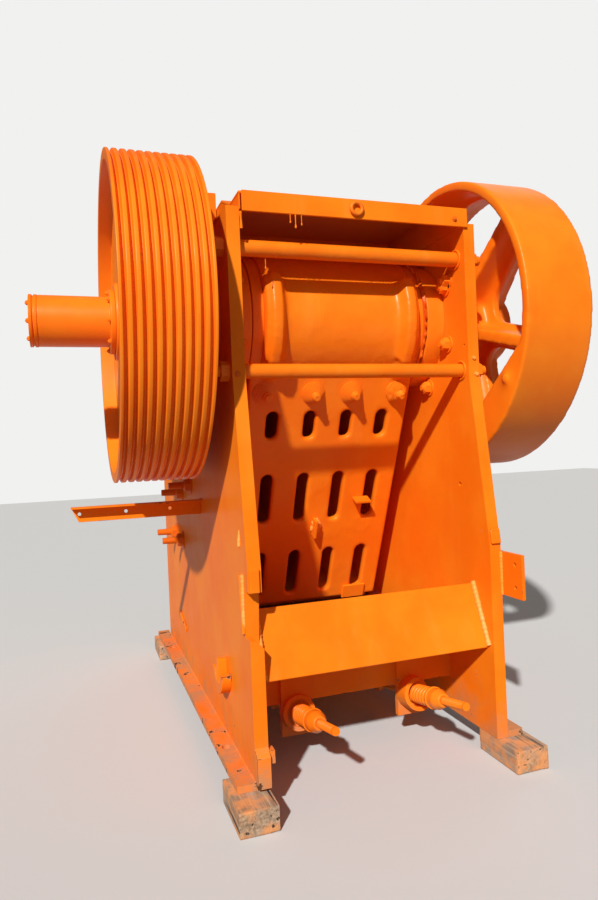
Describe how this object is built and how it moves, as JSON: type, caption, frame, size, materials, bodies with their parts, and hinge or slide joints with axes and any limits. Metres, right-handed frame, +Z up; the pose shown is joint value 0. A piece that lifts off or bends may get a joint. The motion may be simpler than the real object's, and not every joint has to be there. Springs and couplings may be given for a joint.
{
  "type": "single-toggle jaw crusher",
  "caption": "Single-toggle jaw crusher: plate frame on timber blocks, grooved belt pulley, spoked flywheel, eccentric shaft and slotted swing jaw with toggle gear.",
  "frame": {"origin": "centre of the four anchor holes, in the plane of the base flanges' undersides", "axes": "+Z up; +X along the shaft towards the flywheel; +Y towards the feed end"},
  "size_m": [2.508, 2.711, 2.905],
  "materials": {
    "orange_paint": "gloss",
    "die_steel": "worn, rusty",
    "shaft_steel": "oiled",
    "timber": "weathered"
  },
  "bodies": {
    "frame": {"left_side_plate": "orange_paint", "right_side_plate": "orange_paint", "left_base_flange": "orange_paint", "right_base_flange": "orange_paint", "left_foot_clip": "orange_paint", "timber_blocks": "timber", "front_wall": "orange_paint", "front_ribs": "orange_paint", "front_stiffeners": "orange_paint", "fixed_jaw": "die_steel", "left_cheek_plate": "die_steel", "right_cheek_plate": "die_steel", "hood": "orange_paint", "left_hood_wall": "orange_paint", "right_hood_wall": "orange_paint", "upper_tie_bar": "orange_paint", "lower_tie_bar": "orange_paint", "toggle_cover": "orange_paint", "toggle_beam": "orange_paint", "toggle_seat": "die_steel", "toggle_plate": "die_steel", "left_rod_bracket": "orange_paint", "right_rod_bracket": "orange_paint", "tension_rods": "orange_paint", "rod_springs": "orange_paint", "rod_washers": "orange_paint", "left_bearing_housing": "orange_paint", "right_bearing_housing": "orange_paint", "guard_bracket": "orange_paint", "right_bracket_plate": "orange_paint", "left_lifting_lug": "orange_paint", "left_side_bars": "orange_paint", "left_edge_pad": "orange_paint", "right_edge_pad": "orange_paint"},
    "rotor": {"eccentric_shaft": "shaft_steel", "drive_pulley": "orange_paint", "flywheel": "orange_paint", "shaft_sleeve": "orange_paint", "sleeve_cap": "orange_paint"},
    "pitman": {"pitman": "orange_paint", "pitman_covers": "orange_paint", "swing_jaw": "die_steel", "swing_jaw_wedge": "die_steel", "jaw_bolts": "orange_paint", "pitman_tabs": "orange_paint"}
  },
  "joints": [
    {"name": "rotor_spin", "type": "hinge", "parent": "frame", "child": "rotor", "pos_m": [0, -0.595, 2.03], "axis": [1, 0, 0], "continuous": true},
    {"name": "pitman_orbit", "type": "hinge", "parent": "rotor", "child": "pitman", "pos_m": [0, -0.58745, 2.03933], "axis": [1, 0, 0], "continuous": true}
  ],
  "couplings": [
    {"joint": "pitman_orbit", "follows": "rotor_spin", "ratio": -1}
  ]
}
